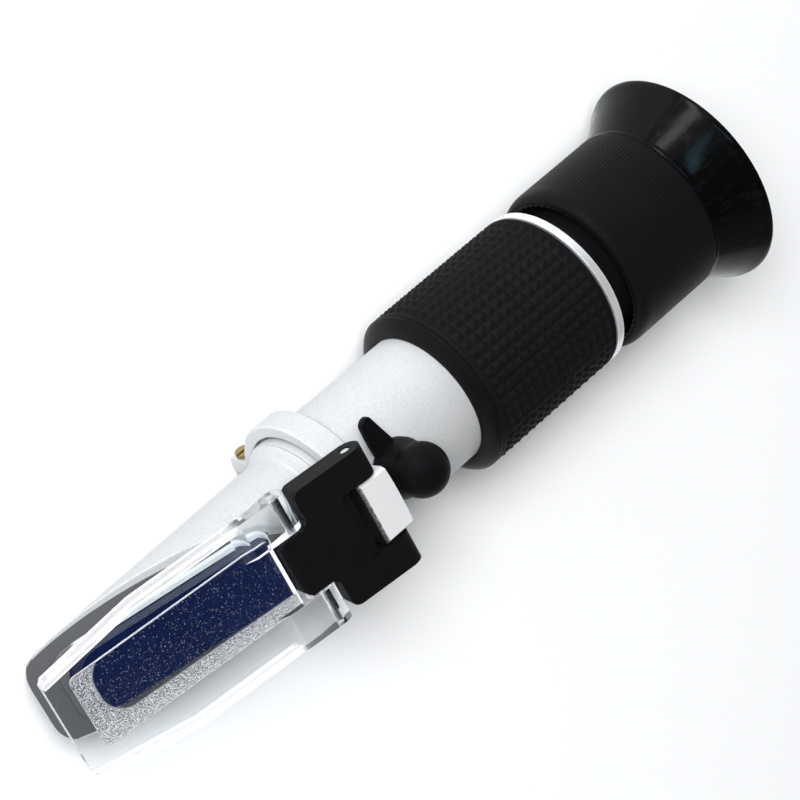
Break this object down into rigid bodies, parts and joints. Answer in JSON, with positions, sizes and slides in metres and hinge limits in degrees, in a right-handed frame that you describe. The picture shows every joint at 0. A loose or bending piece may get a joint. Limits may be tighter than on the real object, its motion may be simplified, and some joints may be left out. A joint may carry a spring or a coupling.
{
  "type": "handheld brix refractometer",
  "caption": "Handheld optical refractometer: prism under a hinged clear plate, barrel with a capped calibration screw, rubber grip, focusing eyepiece and flared eyecup.",
  "frame": {"origin": "on the optical axis, in the middle of the bare barrel between the hinge ring and the grip", "axes": "+X along the optical axis towards the eyepiece, +Z towards the prism and plate side, +Y to the left of a user who looks in"},
  "size_m": [0.1606, 0.042, 0.0458],
  "materials": {
    "satin_aluminium": "satin, bead blasted",
    "chrome_trim": "polished",
    "steel": "turned",
    "brass": "turned",
    "black_rubber": "matte",
    "gloss_rubber": "glossy",
    "satin_black": "satin",
    "arm_black": "matte, finely grained",
    "inner_black": "matte",
    "pale_sealant": "matte, slightly translucent",
    "optical_glass": "polished",
    "clear_plastic": "clear, with a frosted underside"
  },
  "bodies": {
    "instrument": {"front_housing": "satin_aluminium", "main_prism": "optical_glass", "prism_seal": "pale_sealant", "hinge_ring": "satin_aluminium", "clamp_screw": "brass", "hinge_pin": "steel", "barrel": "satin_aluminium", "screw_boss": "satin_aluminium", "lens_guide": "inner_black", "leaf_spring": "steel", "spring_post": "inner_black", "spring_screw": "steel", "grip_collar": "satin_black", "grip_sleeve": "black_rubber", "trim_ring": "chrome_trim", "eyepiece_neck": "satin_black", "reticle": "optical_glass", "reticle_ring": "inner_black"},
    "arm": {"hinge_arm": "arm_black", "plate_pin": "steel"},
    "plate": {"daylight_plate": "clear_plastic"},
    "calibrator": {"calibration_screw": "brass"},
    "objective": {"lens_cell": "inner_black", "objective_lens": "optical_glass"},
    "cap": {"calibration_cap": "black_rubber"},
    "focus_slider": {"focus_o_ring": "black_rubber"},
    "eyepiece": {"focus_ring": "satin_black", "eyecup": "gloss_rubber", "lens_tube": "inner_black", "field_lens": "optical_glass", "lens_spacer": "inner_black", "eye_lens": "optical_glass", "lens_retaining_ring": "inner_black"}
  },
  "joints": [
    {"name": "arm_hinge", "type": "hinge", "parent": "instrument", "child": "arm", "pos_m": [-0.01735, 0, 0.01915], "axis": [0, 1, 0], "range_deg": [-7.6, 105]},
    {"name": "plate_hinge", "type": "hinge", "parent": "arm", "child": "plate", "pos_m": [-0.03199, 0, 0.01635], "axis": [0, 1, 0], "range_deg": [0, 15]},
    {"name": "calibration_turn", "type": "hinge", "parent": "instrument", "child": "calibrator", "pos_m": [-0.0069, 0, 0.012], "axis": [0, 0, 1], "range_deg": [-181, 181]},
    {"name": "lens_shift", "type": "slide", "parent": "instrument", "child": "objective", "axis": [0, 0, 1], "range_m": [-0.00025, 0.00025]},
    {"name": "cap_pull", "type": "slide", "parent": "instrument", "child": "cap", "axis": [0, 0, 1], "range_m": [0, 0.008]},
    {"name": "focus_slide", "type": "slide", "parent": "instrument", "child": "focus_slider", "axis": [1, 0, 0], "range_m": [-0.003, 0.004]},
    {"name": "focus_turn", "type": "hinge", "parent": "focus_slider", "child": "eyepiece", "pos_m": [0.058, 0, 0], "axis": [1, 0, 0], "range_deg": [-136, 181]}
  ],
  "couplings": [
    {"joint": "focus_turn", "follows": "focus_slide", "rad_per_m": 785.4},
    {"joint": "calibration_turn", "follows": "lens_shift", "rad_per_m": -12566}
  ]
}
